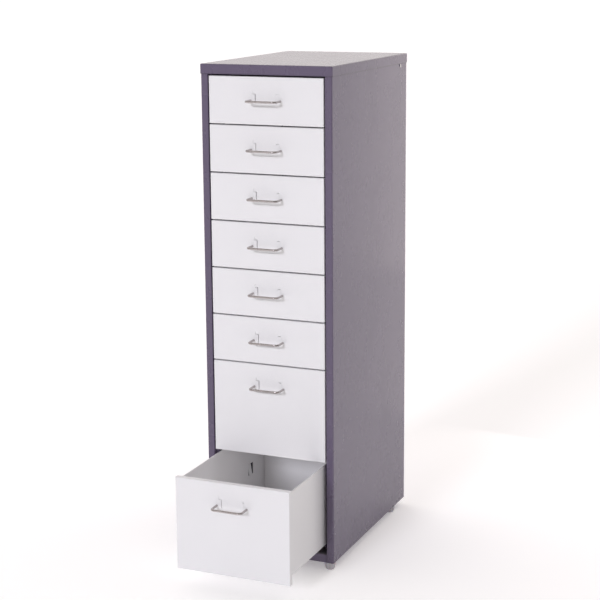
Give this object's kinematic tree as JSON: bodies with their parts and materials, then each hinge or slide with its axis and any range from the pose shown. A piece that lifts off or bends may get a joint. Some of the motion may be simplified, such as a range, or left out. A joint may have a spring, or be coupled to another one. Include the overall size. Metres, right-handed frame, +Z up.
{
  "type": "metal drawer cabinet",
  "caption": "Tall narrow sheet-metal drawer cabinet with sliding drawers, wire bow handles, pressed label holders and short plastic feet; the lowest drawer stands open.",
  "frame": {"origin": "centre of the whole outline on the floor, with the lowest drawer open by 180 mm as in the picture and the feet standing at Z = 0", "axes": "+Z up; the drawer fronts face -Y; seen from the front, along +Y, +X is to the right"},
  "size_m": [0.2822, 0.6402, 1.021],
  "materials": {
    "carcass_paint": "powder coat, fine texture, anthracite with a slight violet cast",
    "drawer_paint": "powder coat, fine texture, cool white",
    "handle_chrome": "bright plated wire",
    "foot_plastic": "moulded grey plastic",
    "zinc_steel": "zinc plated"
  },
  "bodies": {
    "carcass": {"side_panel_left": "carcass_paint", "side_panel_right": "carcass_paint", "back_panel": "carcass_paint", "top_cap": "carcass_paint", "base_panel": "carcass_paint", "front_rail_top": "carcass_paint", "rear_tie": "carcass_paint", "runners_left": "carcass_paint", "runners_right": "carcass_paint", "foot_front_left": "foot_plastic", "foot_front_right": "foot_plastic", "foot_rear_left": "foot_plastic", "foot_rear_right": "foot_plastic", "foot_nuts": "zinc_steel", "side_screws": "zinc_steel"},
    "drawer_1": {"drawer_1_front": "drawer_paint", "drawer_1_tub": "drawer_paint", "drawer_1_back": "drawer_paint", "drawer_1_handle": "handle_chrome", "drawer_1_handle_nuts": "zinc_steel"},
    "drawer_2": {"drawer_2_front": "drawer_paint", "drawer_2_tub": "drawer_paint", "drawer_2_back": "drawer_paint", "drawer_2_handle": "handle_chrome", "drawer_2_handle_nuts": "zinc_steel"},
    "drawer_3": {"drawer_3_front": "drawer_paint", "drawer_3_tub": "drawer_paint", "drawer_3_back": "drawer_paint", "drawer_3_handle": "handle_chrome", "drawer_3_handle_nuts": "zinc_steel"},
    "drawer_4": {"drawer_4_front": "drawer_paint", "drawer_4_tub": "drawer_paint", "drawer_4_back": "drawer_paint", "drawer_4_handle": "handle_chrome", "drawer_4_handle_nuts": "zinc_steel"},
    "drawer_5": {"drawer_5_front": "drawer_paint", "drawer_5_tub": "drawer_paint", "drawer_5_back": "drawer_paint", "drawer_5_handle": "handle_chrome", "drawer_5_handle_nuts": "zinc_steel"},
    "drawer_6": {"drawer_6_front": "drawer_paint", "drawer_6_tub": "drawer_paint", "drawer_6_back": "drawer_paint", "drawer_6_handle": "handle_chrome", "drawer_6_handle_nuts": "zinc_steel"},
    "drawer_7": {"drawer_7_front": "drawer_paint", "drawer_7_tub": "drawer_paint", "drawer_7_back": "drawer_paint", "drawer_7_handle": "handle_chrome", "drawer_7_handle_nuts": "zinc_steel"},
    "drawer_8": {"drawer_8_front": "drawer_paint", "drawer_8_tub": "drawer_paint", "drawer_8_back": "drawer_paint", "drawer_8_handle": "handle_chrome", "drawer_8_handle_nuts": "zinc_steel"}
  },
  "joints": [
    {"name": "drawer_1_slide", "type": "slide", "parent": "carcass", "child": "drawer_1", "axis": [0, -1, 0], "range_m": [0, 0.31]},
    {"name": "drawer_2_slide", "type": "slide", "parent": "carcass", "child": "drawer_2", "axis": [0, -1, 0], "range_m": [0, 0.31]},
    {"name": "drawer_3_slide", "type": "slide", "parent": "carcass", "child": "drawer_3", "axis": [0, -1, 0], "range_m": [0, 0.31]},
    {"name": "drawer_4_slide", "type": "slide", "parent": "carcass", "child": "drawer_4", "axis": [0, -1, 0], "range_m": [0, 0.31]},
    {"name": "drawer_5_slide", "type": "slide", "parent": "carcass", "child": "drawer_5", "axis": [0, -1, 0], "range_m": [0, 0.31]},
    {"name": "drawer_6_slide", "type": "slide", "parent": "carcass", "child": "drawer_6", "axis": [0, -1, 0], "range_m": [0, 0.31]},
    {"name": "drawer_7_slide", "type": "slide", "parent": "carcass", "child": "drawer_7", "axis": [0, -1, 0], "range_m": [0, 0.31]},
    {"name": "drawer_8_slide", "type": "slide", "parent": "carcass", "child": "drawer_8", "axis": [0, -1, 0], "range_m": [-0.18, 0.13]}
  ]
}
